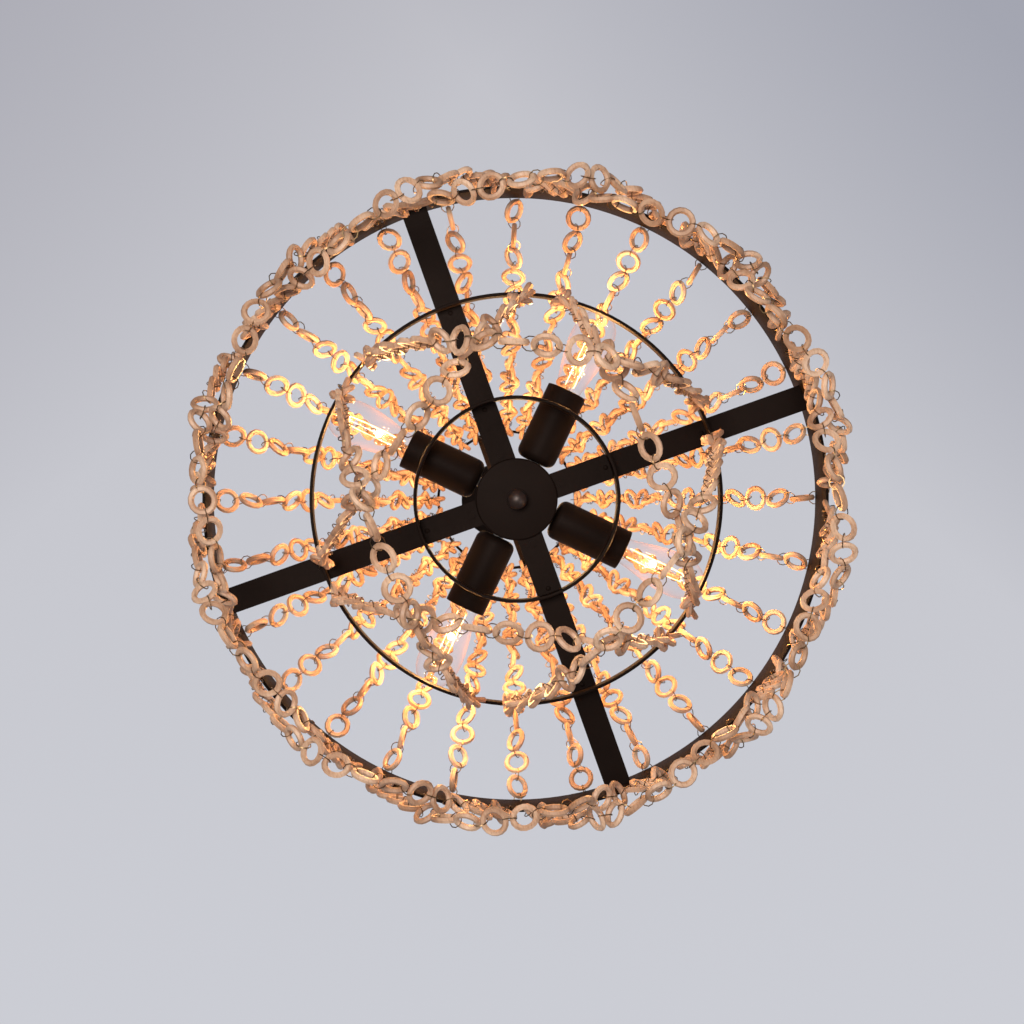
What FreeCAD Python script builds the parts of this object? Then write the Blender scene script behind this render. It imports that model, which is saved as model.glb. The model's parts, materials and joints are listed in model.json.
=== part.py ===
import FreeCAD, Part
import Sketcher
import math
import os

# Orb chandelier: a hooped wheel on a hanging stem, four lamp cups at its hub,
# hung strands of wooden rings above it and swags of wooden rings below it.
# Millimetres, +Z up, the ceiling is z = 0 and the stem runs down the Z axis.

V = FreeCAD.Vector
UP = V(0, 0, 1)
doc = FreeCAD.newDocument("orb_chandelier")
sheet = doc.addObject("Spreadsheet::Sheet", "dims")

# driving sizes
SIZES = {
    "drop": 1400, "band_radius": 300, "band_height": 45, "hoop_wall": 3,
    "spoke_width": 25, "spoke_thick": 3,
    "middle_radius": 199, "middle_height": 15, "small_radius": 99.5, "small_height": 20,
    "top_radius": 91, "top_height": 12, "top_rise": 479.7, "top_bar_width": 20,
    "stem_radius": 6.5, "rod_radius": 5, "rod_bore": 3.5, "free_play": 0.1,
    "plate_thick": 2, "plate_radius": 38, "tongue_width": 18, "tongue_reach": 54,
    "screw_ring": 46, "screw_radius": 2, "screw_head": 3.5,
    "drum_radius": 38, "drum_height": 40, "sheet_wall": 1.5,
    "cover_radius": 40, "cover_thick": 3, "ball_radius": 10,
    "lamp_rise": 24, "cup_back": 41, "cup_radius": 20, "cup_length": 77, "cup_flat": 12,
    "cup_shoulder": 7,
    "holder_radius": 15.8, "holder_length": 50, "bulb_cap_radius": 13, "bulb_cap_length": 27,
    "cap_seat": 61, "neck_radius": 12.4, "bulb_radius": 22, "bulb_length": 116, "glass_wall": 0.8,
    "canopy_radius": 70, "canopy_depth": 25, "canopy_wall": 1.2, "canopy_hole": 14,
    "loop_radius": 12.5,
    "bar_length": 112, "bar_width": 18, "bar_thick": 3, "ceiling_hole_gap": 88.9,
    "collar_radius": 18, "collar_depth": 5, "loop_top": 16, "loop_foot": 33,
    "yoke_plate": 4, "cheek_gap": 14, "cheek_thick": 2.5, "cheek_width": 10, "yoke_radius": 10.8,
    "pin_drop": 57, "pin_radius": 2, "knuckle_radius": 9.5, "knuckle_foot": 84,
    "stem_joint": 490, "coupling_radius": 9, "coupling_length": 30,
    "ring_radius": 12.7, "ring_thick": 5.4, "ring_pitch": 25.9, "hook_gap": 0.3,
    "strand_rise": 21, "middle_bow": 6, "outer_weave": 8,
}
# sizes that follow from them
FOLLOW = {
    "wheel": "=-drop",
    "spoke_top": "=wheel + spoke_thick / 2",
    "spoke_under": "=wheel - spoke_thick / 2",
    "plate_top": "=spoke_top + plate_thick",
    "drum_top": "=plate_top + drum_height",
    "cover_under": "=spoke_under - cover_thick",
    "top_foot": "=wheel + top_rise",
    "top_level": "=top_foot + top_height / 2",
    "stem_meet": "=top_level + 2",
    "lamp_level": "=wheel + lamp_rise",
    "pin_level": "=-pin_drop",
    "yoke_half": "=cheek_gap / 2 + cheek_thick",
    "rod_hole": "=rod_radius + free_play",
    "band_inner": "=band_radius - hoop_wall",
    "spoke_reach": "=sqrt(band_inner * band_inner - spoke_width * spoke_width / 4)",
    "top_inner": "=top_radius - hoop_wall",
    "top_bar_reach": "=sqrt(top_inner * top_inner - top_bar_width * top_bar_width / 4)",
}
for row, (alias, value) in enumerate(list(SIZES.items()) + list(FOLLOW.items()), 1):
    sheet.set("A%d" % row, alias)
    sheet.set("B%d" % row, str(value))
    sheet.setAlias("B%d" % row, alias)
doc.recompute()

NODES = []


def read(alias):
    return float(sheet.get(alias))


def rule(text):
    """Prefixes every sheet size named in an expression."""
    words = "".join(ch if ch.isalnum() or ch == "_" else " " for ch in text).split()
    for word in sorted(set(words), key=len, reverse=True):
        if word in SIZES or word in FOLLOW:
            text = swap(text, word)
    return text


def swap(text, word):
    """Replaces a whole word by the sheet's name for it."""
    out, i = "", 0
    while i < len(text):
        fits = text.startswith(word, i)
        before = i > 0 and (text[i - 1].isalnum() or text[i - 1] in "_.")
        end = i + len(word)
        after = end < len(text) and (text[end].isalnum() or text[end] == "_")
        if fits and not before and not after:
            out, i = out + "dims." + word, end
        else:
            out, i = out + text[i], i + 1
    return out


def node(shape, name):
    shape.Label = name
    NODES.append(shape)
    return shape


def place(shape, z=None, x=None, y=None, turn=0, lay=False):
    """Puts a shape at sheet sizes; lay turns its own Z outwards, turn swings it round Z."""
    spin = FreeCAD.Rotation(UP, turn)
    if lay:
        spin = spin * FreeCAD.Rotation(V(0, 1, 0), 90)
    shape.Placement = FreeCAD.Placement(V(), spin)
    for axis, text in (("x", x), ("y", y), ("z", z)):
        if text is not None:
            shape.setExpression("Placement.Base." + axis, rule(text))
    return shape


def prim(kind, where=None, **sizes):
    """One Part primitive whose sizes are sheet expressions."""
    shape = doc.addObject("Part::" + kind, kind)
    for key, text in sizes.items():
        if key == "Polygon":
            shape.Polygon = text
        else:
            shape.setExpression(key, rule(text))
    return place(shape, **(where or {}))


def rod(radius, foot, top, **where):
    """A round bar along Z between two levels."""
    return prim("Cylinder", dict(z=foot, **where), Radius=radius, Height="(%s) - (%s)" % (top, foot))


def bar(sides, radius, foot, top, **where):
    """A bar of flat faces along Z between two levels."""
    size = "(%s) - (%s)" % (top, foot)
    return prim("Prism", dict(z=foot, **where), Polygon=sides, Circumradius=radius, Height=size)


def hole(sides, radius, foot, top, **where):
    """A bar whose flat faces touch a radius, so a round or many-sided piece runs in it."""
    corner = "(%s) / %.5f" % (radius, math.cos(math.pi / sides))
    return bar(sides, corner, foot, top, **where)


def cut(base, tool):
    shape = doc.addObject("Part::Cut", "Cut")
    shape.Base, shape.Tool = base, tool
    return shape


def fuse(*shapes):
    shape = doc.addObject("Part::MultiFuse", "Fuse")
    shape.Shapes = list(shapes)
    return shape


def group(*shapes):
    shape = doc.addObject("Part::Compound", "Group")
    shape.Links = list(shapes)
    return shape


def tube(sides, radius, bore, foot, top):
    return cut(bar(sides, radius, foot, top), bar(8, bore, foot, top))


def pipe(radius, bore, foot, top, **where):
    return cut(rod(radius, foot, top, **where), rod(bore, foot, top, **where))


def nut(sides, radius, foot, top):
    return cut(bar(sides, radius, foot, top), hole(12, "rod_hole", foot, top))


def turned(sides, *steps):
    """A turned shape of flat faces through (radius, level) steps along Z."""
    shape = doc.addObject("Part::Feature", "Turned")
    rims = []
    for radius, level in steps:
        reach, z = (float(shape.evalExpression(rule(text))) for text in (radius, level))
        corners = [2 * math.pi * i / sides for i in range(sides)]
        rims.append([V(reach * math.cos(a), reach * math.sin(a), z) for a in corners])
    outlines = [rims[0][::-1], rims[-1]]
    for low, high in zip(rims, rims[1:]):
        for i in range(sides):
            j = (i + 1) % sides
            outlines.append([low[i], low[j], high[j], high[i]])
    faces = [Part.Face(Part.makePolygon(corners + corners[:1])) for corners in outlines]
    shape.Shape = Part.makeSolid(Part.makeShell(faces))
    return shape


def sketch_on(body, role, points):
    """A closed outline of straight lines through points given as sheet expressions."""
    sketch = body.newObject("Sketcher::SketchObject", "Outline")
    plane = [item for item in body.Origin.OriginFeatures if item.Role == role][0]
    sketch.AttachmentSupport = [(plane, "")]
    sketch.MapMode = "FlatFace"
    texts = [(rule(across), rule(along)) for across, along in points]
    spots = [V(float(sketch.evalExpression(a)), float(sketch.evalExpression(b)), 0) for a, b in texts]
    count = len(spots)
    for i in range(count):
        sketch.addGeometry(Part.LineSegment(spots[i], spots[(i + 1) % count]))
    for i in range(count):
        sketch.addConstraint(Sketcher.Constraint("Coincident", i, 2, (i + 1) % count, 1))
    for i in range(count):
        hold(sketch, i, "DistanceX", -2, spots[i].x, texts[i][0])
        hold(sketch, i, "DistanceY", -1, spots[i].y, texts[i][1])
    return sketch


def hold(sketch, line, kind, axis, value, text):
    """Ties a line's start to an axis or at a sheet distance from the origin."""
    if abs(value) < 1e-9:
        sketch.addConstraint(Sketcher.Constraint("PointOnObject", line, 1, axis))
    else:
        index = sketch.addConstraint(Sketcher.Constraint(kind, -1, 1, line, 1, value))
        sketch.setExpression("Constraints[%d]" % index, text)


def lathe(*points):
    """A body of revolution: points are (radius, level)."""
    body = doc.addObject("PartDesign::Body", "Lathe")
    sketch = sketch_on(body, "XZ_Plane", points)
    spun = body.newObject("PartDesign::Revolution", "Spun")
    spun.Profile, spun.ReferenceAxis, spun.Angle = sketch, (sketch, ["V_Axis"]), 360
    return body


def plate(thick, *points):
    """A flat body cut to an outline in plan."""
    body = doc.addObject("PartDesign::Body", "Plate")
    pad = body.newObject("PartDesign::Pad", "Pad")
    pad.Profile = sketch_on(body, "XY_Plane", points)
    pad.setExpression("Length", rule(thick))
    return body


def hoop(radius, foot, top):
    """A hoop of sixty flat faces, its corners at the radius."""
    return cut(bar(60, radius, foot, top), bar(60, "%s - hoop_wall" % radius, foot, top))


def oblong(length, width):
    """Four corners of a bar centred on the axis."""
    a, b = "(%s) / 2" % length, "(%s) / 2" % width
    return (("-" + a, "-" + b), (a, "-" + b), (a, b), ("-" + a, b))


# ceiling bracket: crossbar, hollow threaded rod and its nuts, threaded loop body
strip = place(plate("bar_thick", *oblong("bar_length", "bar_width")), z="-bar_thick")
strip = cut(strip, hole(12, "rod_hole", "-bar_thick", "0"))
for side in ("-", ""):
    away = side + "ceiling_hole_gap / 2"
    strip = cut(strip, rod("2.5", "-bar_thick", "0", x=away))
node(strip, "crossbar")
node(tube(24, "rod_radius", "rod_bore", "-loop_foot - yoke_plate - 6", "0"), "nipple")
node(group(nut(6, "8.5", "-bar_thick - 5", "-bar_thick"),
           nut(12, "cheek_gap / 2 - 0.2", "-loop_foot - yoke_plate - 4.5", "-loop_foot - yoke_plate - 0.25")),
     "nipple_nuts")
node(cut(bar(24, "loop_radius", "-loop_foot", "-loop_top"), hole(12, "rod_hole", "-loop_foot", "-loop_top")),
     "loop_body")

# canopy: the ceiling cup and the ring that screws up under it
shell = cut(turned(32, ("canopy_radius - 4", "-canopy_depth"), ("canopy_radius", "4 - canopy_depth"),
                   ("canopy_radius", "0")),
            turned(32, ("canopy_radius - 4.5", "canopy_wall - canopy_depth"),
                   ("canopy_radius - canopy_wall", "4.5 - canopy_depth"), ("canopy_radius - canopy_wall", "0")))
node(cut(shell, hole(24, "canopy_hole", "-canopy_depth", "canopy_wall - canopy_depth")), "canopy")
ring_foot = "-canopy_depth - collar_depth"
node(cut(bar(24, "collar_radius", ring_foot, "-canopy_depth"),
         hole(24, "loop_radius + 0.05", ring_foot, "-canopy_depth")), "canopy_collar")

# swivel: a yoke that turns on the rod, its pin, and the stem's knuckle that tilts on the pin
yoke_top = "-loop_foot - 0.25"
yoke_under = "-loop_foot - yoke_plate"
yoke = cut(bar(24, "yoke_radius", yoke_under, yoke_top),
           hole(24, "rod_radius + 0.05", yoke_under, yoke_top))
cheeks = []
for side, near in (("left", "cheek_gap / 2"), ("right", "-yoke_half")):
    where = dict(z="pin_level - 5.5", x="-cheek_width / 2", y=near)
    cheeks.append(prim("Box", where, Length="cheek_width", Width="cheek_thick",
                       Height="(%s) - (pin_level - 5.5)" % yoke_top))
def across(sides, radius, reach):
    """A bar through the swivel along Y."""
    shape = prim("Prism", dict(z="pin_level"), Polygon=sides, Circumradius=radius, Height="2 * (%s)" % reach)
    shape.Placement.Rotation = FreeCAD.Rotation(V(1, 0, 0), 90)
    shape.setExpression("Placement.Base.y", rule(reach))
    return shape


node(cut(fuse(yoke, *cheeks), across(16, "pin_radius", "2 * yoke_half")), "swivel_yoke")
node(across(16, "pin_radius", "yoke_half + 0.5"), "swivel_pin")
tongue = prim("Box", dict(z="-knuckle_foot + 16", x="-5.5", y="0.2 - cheek_gap / 2"), Length="11",
              Width="cheek_gap - 0.4", Height="knuckle_foot - 16 - pin_drop + 5.5")
knuckle = fuse(bar(24, "knuckle_radius", "-knuckle_foot", "-knuckle_foot + 16"), tongue)
knuckle = cut(knuckle, hole(16, "stem_radius + 0.05", "-knuckle_foot", "-knuckle_foot + 12"))
pin_bore = "(pin_radius + 0.05) / %.5f" % math.cos(math.pi / 16)
node(cut(knuckle, across(16, pin_bore, "2 * yoke_half")), "stem_knuckle")

# hanging stem in three hollow lengths
stem_bore = "rod_radius + 0.05"
node(pipe("stem_radius", stem_bore, "-stem_joint", "-knuckle_foot + 12"), "stem_upper_1")
node(cut(bar(16, "coupling_radius", "-stem_joint - coupling_length / 2", "-stem_joint + coupling_length / 2"),
         hole(16, "stem_radius + 0.05", "-stem_joint - coupling_length / 2", "-stem_joint + coupling_length / 2")),
     "stem_coupling")
node(pipe("stem_radius", stem_bore, "stem_meet", "-stem_joint"), "stem_upper_2")
node(pipe("stem_radius", stem_bore, "drum_top", "stem_meet"), "stem_lower")

# top hoop and its cross of flat bars on a boss
boss = bar(24, "14", "top_level - 10", "top_level + 14")
cross = [place(plate("spoke_thick", *oblong("2 * top_bar_reach", "top_bar_width")),
               z="top_level - spoke_thick / 2", turn=angle) for angle in (0, 90)]
node(cut(fuse(boss, *cross), hole(16, "stem_radius + 0.05", "top_level - 10", "top_level + 14")), "top_spider")
node(hoop("top_radius", "top_foot", "top_foot + top_height"), "top_hoop")

# wheel: outer band, four spokes, two hoops under the spokes
band_foot, band_top = "wheel - band_height / 2", "wheel + band_height / 2"
node(lathe(("band_inner", band_foot), ("band_radius", band_foot), ("band_radius", band_top),
           ("band_inner", band_top)), "outer_band")
node(hoop("middle_radius", "spoke_under - middle_height", "spoke_under"), "middle_hoop")
node(hoop("small_radius", "spoke_under - small_height", "spoke_under"), "small_hoop")
half = "spoke_width / 2"
for i in range(4):
    flat = plate("spoke_thick", (half, "-" + half), ("spoke_reach", "-" + half), ("spoke_reach", half),
                 (half, half))
    drilled = cut(flat, hole(8, "screw_radius + free_play", "0", "spoke_thick", x="screw_ring"))
    node(place(drilled, z="spoke_under", turn=90 * i), "spoke_%d" % (i + 1))

# hub: plate with four tongues, drum, cover, ball, rod and nuts
tongues = [place(plate("plate_thick", *oblong("2 * tongue_reach", "tongue_width")), turn=angle)
           for angle in (0, 90)]
hub_plate = cut(fuse(bar(24, "plate_radius", "0", "plate_thick"), *tongues),
                hole(12, "rod_hole", "0", "plate_thick"))
for i in range(4):
    drill = group(hole(8, "screw_radius + free_play", "0", "plate_thick", x="screw_ring"))
    hub_plate = cut(hub_plate, place(drill, turn=90 * i))
node(place(hub_plate, z="spoke_top"), "hub_plate")
fixings = []
for i in range(4):
    shank = prim("Prism", dict(x="screw_ring", z="0"), Polygon=8, Circumradius="screw_radius",
                 Height="spoke_thick + plate_thick")
    head = prim("Prism", dict(x="screw_ring", z="-2"), Polygon=8, Circumradius="screw_head", Height="2")
    fixings.append(place(fuse(shank, head), z="spoke_under", turn=90 * i))
node(group(*fixings), "hub_screws")
drum = cut(bar(24, "drum_radius", "plate_top", "drum_top"),
           bar(24, "drum_radius - sheet_wall", "plate_top", "drum_top - sheet_wall"))
drum = cut(drum, hole(12, "rod_hole", "drum_top - sheet_wall", "drum_top"))
for i in range(4):
    mouth = prim("Prism", Polygon=12, Circumradius="rod_radius + 0.3", Height="drum_radius + 5")
    drum = cut(drum, place(mouth, z="lamp_level", turn=45 + 90 * i, lay=True))
node(drum, "hub_drum")
node(cut(turned(24, ("cover_radius - 2", "cover_under"), ("cover_radius", "cover_under + 1"),
                ("cover_radius", "spoke_under")), hole(12, "rod_hole", "cover_under", "spoke_under")), "hub_cover")
ball = turned(12, ("4", "cover_under - 3 - 2 * ball_radius"), ("ball_radius", "cover_under - 3 - 1.35 * ball_radius"),
              ("ball_radius", "cover_under - 3 - 0.65 * ball_radius"), ("7.5", "cover_under - 3"),
              ("7.5", "cover_under"))
node(cut(ball, hole(12, "rod_hole", "cover_under - 12", "cover_under")), "hub_ball")
node(tube(12, "rod_radius", "rod_bore", "cover_under - 12", "drum_top + 20"), "hub_rod")
node(group(nut(6, "8.5", "plate_top", "plate_top + 5"),
           nut(6, "8.5", "drum_top - sheet_wall - 5", "drum_top - sheet_wall")), "hub_nuts")

# lamps: hollow arm, cup, lampholder, bulb cap and glass, each laid out from the hub at 45 degrees
arms = []
cup_mouth = "cup_back + cup_length"
for i in range(4):
    laid = dict(z="lamp_level", turn=45 + 90 * i, lay=True)
    arms.append(place(tube(8, "rod_radius", "rod_bore", "drum_radius - 5", "cup_back + 3"), **laid))
    cup = cut(turned(12, ("cup_flat", "cup_back"), ("cup_radius", "cup_back + cup_shoulder"),
                     ("cup_radius", cup_mouth)),
              turned(12, ("cup_flat - 0.5", "cup_back + sheet_wall"),
                     ("cup_radius - sheet_wall", "cup_back + cup_shoulder + 0.5"),
                     ("cup_radius - sheet_wall", cup_mouth)))
    back_hole = bar(12, "rod_radius + 0.2", "cup_back", "cup_back + sheet_wall")
    node(place(cut(cup, back_hole), **laid), "lamp_cup_%d" % (i + 1))
    holder = cut(turned(12, ("8", "cup_back + 3"), ("8", "cup_back + 12"),
                        ("holder_radius", "cup_back + 14"), ("holder_radius", "cup_back + 3 + holder_length")),
                 hole(12, "bulb_cap_radius + 0.1", "cap_seat", "cup_back + 3 + holder_length"))
    node(place(holder, **laid), "lampholder_%d" % (i + 1))
    cap_end = "cap_seat + bulb_cap_length"
    cap = turned(12, ("5", "cap_seat"), ("bulb_cap_radius", "cap_seat + 6"), ("bulb_cap_radius", cap_end))
    node(place(cap, **laid), "bulb_cap_%d" % (i + 1))
    outer = turned(12, ("neck_radius", cap_end), ("neck_radius", cap_end + " + 22"),
                   ("0.8 * bulb_radius", cap_end + " + 0.46 * bulb_length"),
                   ("bulb_radius", cap_end + " + 0.72 * bulb_length"),
                   ("0.74 * bulb_radius", cap_end + " + 0.91 * bulb_length"),
                   ("4", cap_end + " + bulb_length"))
    inner = turned(12, ("neck_radius - glass_wall", cap_end + " + 1"),
                   ("neck_radius - glass_wall", cap_end + " + 22"),
                   ("0.8 * bulb_radius - glass_wall", cap_end + " + 0.46 * bulb_length"),
                   ("bulb_radius - glass_wall", cap_end + " + 0.72 * bulb_length"),
                   ("0.74 * bulb_radius - glass_wall", cap_end + " + 0.91 * bulb_length - 0.3"),
                   ("3", cap_end + " + bulb_length - 1"))
    node(place(cut(outer, inner), **laid), "bulb_%d" % (i + 1))
node(group(*arms), "lamp_arms")


def lens():
    """A wooden ring with few faces: eight triangles inside the round ring's outer edge."""
    reach, rise = read("ring_radius"), read("ring_thick") / 2
    rim = [V(reach, 0, 0), V(0, reach, 0), V(-reach, 0, 0), V(0, -reach, 0)]
    faces = []
    for i in range(4):
        start, end = rim[i], rim[(i + 1) % 4]
        for corner in ([start, end, V(0, 0, rise)], [end, start, V(0, 0, -rise)]):
            faces.append(Part.Face(Part.makePolygon(corner + corner[:1])))
    return Part.makeSolid(Part.makeShell(faces))


RING = lens()


def curve(start, end, length, lean, weave):
    """A chain hanging between two points: returns the point at a length along it.
    lean bows it outwards in plan, weave pushes its second half out and its first half in."""
    flat = V(end.x - start.x, end.y - start.y, 0)
    span, climb = flat.Length, end.z - start.z
    along = V(flat).normalize()
    middle = (start + end) / 2
    outward = UP.cross(along)
    if outward.dot(middle) < 0:
        outward = outward * -1
    aim = math.sqrt(length ** 2 - climb ** 2) / span
    low, high = 1e-3, 12
    for step in range(60):
        mean = (low + high) / 2
        low, high = (mean, high) if math.sinh(mean) / mean < aim else (low, mean)
    scale = span / (2 * mean)
    lowest = span / 2 - scale * math.atanh(climb / length)

    def point(run):
        x = lowest + scale * math.asinh(run / scale - math.sinh(lowest / scale))
        z = scale * (math.cosh((x - lowest) / scale) - math.cosh(lowest / scale))
        part = 2 * x / span - 1
        side = lean * (1 - part * part) + weave * math.sin(math.pi * part)
        return start + along * x + outward * side + UP * z

    return point


def walk(start, end, length, lean, weave):
    """Many points along a bowed chain whose own length is the one asked for."""
    steps, flat_length = 600, length
    for fit in range(3):
        point = curve(start, end, flat_length, lean, weave)
        path = [point(flat_length * i / steps) for i in range(steps + 1)]
        true_length = sum((b - a).Length for a, b in zip(path, path[1:]))
        flat_length *= length / true_length
    return path


def chain(start, end, count, turn_of, lean=0, weave=0):
    """Rings at even steps along a hanging chain, each turned about it by its own angle."""
    path = walk(start, end, count * read("ring_pitch"), lean, weave)
    links, run, due = [], 0, read("ring_pitch") / 2
    for before, after in zip(path, path[1:]):
        step = (after - before).Length
        if run + step >= due and len(links) < count:
            along = (after - before).normalize()
            middle = before + along * (due - run)
            level = UP.cross(along).normalize()
            part = 2 * (len(links) + 0.5) / count - 1
            angle = math.radians(turn_of(len(links), part))
            side = along.cross(level) * math.cos(angle) + level * math.sin(angle)
            link = RING.copy()
            link.Placement = FreeCAD.Placement(middle, FreeCAD.Rotation(along, side, along.cross(side), "XYZ"))
            links.append(link)
            due += read("ring_pitch")
        run += step
    return links


def polar(radius, angle, level):
    angle = math.radians(angle)
    return V(radius * math.cos(angle), radius * math.sin(angle), level)


def beads(links, name):
    shape = doc.addObject("Part::Feature", "Beads")
    shape.Shape = Part.makeCompound(links)
    return node(shape, name)


def scatter(i, j):
    """A ring's turn about its chain, spread evenly with no pattern."""
    return 360 * math.fmod(0.618 * i + 0.377 * j, 1)


# strands from the band's inner wall up to the top hoop, seven to a node
wheel_level, half_wall = read("wheel"), read("hoop_wall") / 2
STRANDS, PER_STRAND = 28, 20
for quarter in range(4):
    links = []
    for i in range(STRANDS // 4):
        strand = quarter * STRANDS // 4 + i
        angle = (strand + 0.5) * 360 / STRANDS
        foot = polar(read("band_inner") - read("hook_gap"), angle, wheel_level + read("strand_rise"))
        head = polar(read("top_radius") - half_wall, angle, read("top_foot") - read("hook_gap"))
        links += chain(foot, head, PER_STRAND, lambda ring, part: scatter(ring, strand))
    beads(links, "strands_%d" % (quarter + 1))


SWAG_CROSS, CROSS_REACH, CROSS_TURN = 0.6, 0.16, 12


def swag_turn(index):
    """Rings turn freely, but lie flat to the next chain where two swags cross."""
    def turn_of(ring, part):
        if abs(abs(part) - SWAG_CROSS) < CROSS_REACH:
            return CROSS_TURN * math.sin(3 * ring + index)
        return scatter(ring, index + 0.5)
    return turn_of


def swag(index, first, step, apart, radius, level, count, lean=0, weave=0):
    """A chain over two steps of a hoop's hooks, whose ends stay a little apart from their neighbours."""
    start = polar(radius, first + step * index + apart, level)
    end = polar(radius, first + step * (index + 2) - apart, level)
    return chain(start, end, count, swag_turn(index), lean, weave)


# swags under the middle hoop: six, each over two of six hanging points, alternately deep
MIDDLE_FIRST, MIDDLE_STEP, MIDDLE_APART, MIDDLE_RINGS = 27, 60, 4.5, (25, 27)
middle_foot = read("spoke_under") - read("middle_height") - read("hook_gap")
middle_line = read("middle_radius") - half_wall
for family, bow in enumerate((-read("middle_bow"), read("middle_bow"))):
    links = []
    for index in (family, family + 2, family + 4):
        links += swag(index, MIDDLE_FIRST, MIDDLE_STEP, MIDDLE_APART, middle_line, middle_foot,
                      MIDDLE_RINGS[family], lean=bow)
    beads(links, "middle_swags_%d" % (family + 1))

# swags under the outer band: twelve, each over two of twelve hanging points
OUTER_FIRST, OUTER_STEP, OUTER_APART, OUTER_RINGS = 19.3, 30, 2, 19
outer_foot = read("wheel") - read("band_height") / 2 - read("hook_gap")
outer_line = read("band_radius") - 0.5
for quarter in range(4):
    links = []
    for index in range(3 * quarter, 3 * quarter + 3):
        links += swag(index, OUTER_FIRST, OUTER_STEP, OUTER_APART, outer_line, outer_foot,
                      OUTER_RINGS, weave=read("outer_weave"))
    beads(links, "outer_swags_%d" % (quarter + 1))

doc.recompute()
for item in doc.Objects:
    state = " ".join(item.State)
    if "Invalid" in state or "Error" in state:
        raise RuntimeError("%s: %s" % (item.Label, state))
os.makedirs("parts", exist_ok=True)
for item in NODES:
    if item.Shape.isNull() or not item.Shape.isValid() or not item.Shape.Solids:
        raise RuntimeError("bad shape: " + item.Label)
    item.Shape.exportStep("parts/%s.step" % item.Label)
print(len(NODES), "nodes")
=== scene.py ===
# %% [markdown]
# # Dressing an orb chandelier
#
# The real light is a wheel of dark metal bands on a hanging stem. Four filament lamps sit at its
# hub, and hundreds of small wooden rings are wired into chains above and below it. Its sizes and
# joints are in the packed CAD model, which is the fixed frame of this lesson. Here every CAD part
# gets its finish, and the parts that the eye rests on are modelled again, smooth and true.

import json
import math
import random

import bmesh
import bpy
from mathutils import Matrix, Vector


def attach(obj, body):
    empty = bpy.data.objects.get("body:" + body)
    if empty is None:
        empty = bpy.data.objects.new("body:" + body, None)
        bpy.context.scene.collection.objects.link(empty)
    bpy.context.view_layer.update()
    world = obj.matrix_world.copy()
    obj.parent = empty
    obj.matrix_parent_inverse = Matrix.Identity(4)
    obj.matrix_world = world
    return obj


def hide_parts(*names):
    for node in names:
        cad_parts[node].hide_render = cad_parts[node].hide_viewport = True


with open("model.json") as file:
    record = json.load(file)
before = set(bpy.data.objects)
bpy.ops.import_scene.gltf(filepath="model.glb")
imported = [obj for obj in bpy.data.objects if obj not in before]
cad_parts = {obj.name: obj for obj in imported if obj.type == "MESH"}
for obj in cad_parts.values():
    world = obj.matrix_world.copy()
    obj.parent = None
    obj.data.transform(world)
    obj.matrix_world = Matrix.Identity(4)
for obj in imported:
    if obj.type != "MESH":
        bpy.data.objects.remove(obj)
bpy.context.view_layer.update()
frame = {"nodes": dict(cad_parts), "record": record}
scene = bpy.context.scene
UP = Vector((0, 0, 1))
FULL_TURN = 2 * math.pi
print("frame:", len(frame["nodes"]), "CAD nodes")

# %% [markdown]
# ## Where things are
#
# The ceiling is z = 0 and the wheel hangs 1.4 m below it. The sizes repeat those of the CAD
# source, in metres. They are gathered here because the hoops, the spokes, the chains and the
# lamps all lean on them. `polar` gives a spot from a radius and an angle round the stem.

# %% Sizes of the wheel
WHEEL = -1.4
BAND_RADIUS, BAND_HEIGHT = 0.3, 0.045
MIDDLE_RADIUS, MIDDLE_HEIGHT = 0.199, 0.015
SMALL_RADIUS, SMALL_HEIGHT = 0.0995, 0.020
TOP_RADIUS, TOP_HEIGHT, TOP_FOOT = 0.091, 0.012, WHEEL + 0.4797
HOOP_WALL = 0.003
SPOKE_UNDER = WHEEL - 0.0015


def polar(radius, angle, level):
    angle = math.radians(angle)
    return Vector((radius * math.cos(angle), radius * math.sin(angle), level))


print("wheel: %.0f mm across" % (2000 * BAND_RADIUS))
print("top hoop: %.0f mm above it" % (1000 * (TOP_FOOT - WHEEL)))

# %% [markdown]
# ## Camera
#
# The photograph is taken from the floor, almost straight up. The camera could be turned by angles,
# but then its roll is hard to read, so its three axes are built as vectors. `RIGHT` and `TOP` are
# the picture's sides in the plan of the wheel. The view leans a little from the vertical, because
# plumb lines meet left of the picture's centre, and `LEAN` is that lean as a slope.

# %% Camera under the wheel
ROLL = 19.6
RIGHT, TOP = polar(1, ROLL + 90, 0), polar(1, ROLL, 0)
PICTURE, FOCAL_PIXELS, SENSOR = 1024, 1440, 36
LEAN = (33 / FOCAL_PIXELS, -10.5 / FOCAL_PIXELS)
CAMERA_BELOW, CAMERA_LEFT, CAMERA_DOWN = 1.4, 0.0365, 0.0022

camera = bpy.data.objects.new("camera", bpy.data.cameras.new("camera"))
scene.collection.objects.link(camera)
scene.camera = camera
camera.data.sensor_width = SENSOR
camera.data.lens = SENSOR * FOCAL_PIXELS / PICTURE
camera.data.clip_start, camera.data.clip_end = 0.05, 100
view = (UP + RIGHT * LEAN[0] + TOP * LEAN[1]).normalized()
picture_right = (RIGHT - view * RIGHT.dot(view)).normalized()
axes = Matrix((picture_right, picture_right.cross(view), -view)).transposed()
spot = RIGHT * -CAMERA_LEFT + TOP * -CAMERA_DOWN + UP * (WHEEL - CAMERA_BELOW)
camera.matrix_world = Matrix.Translation(spot) @ axes.to_4x4()
print("camera: %.1f mm lens, %.2f m under the wheel" % (camera.data.lens, CAMERA_BELOW))

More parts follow.
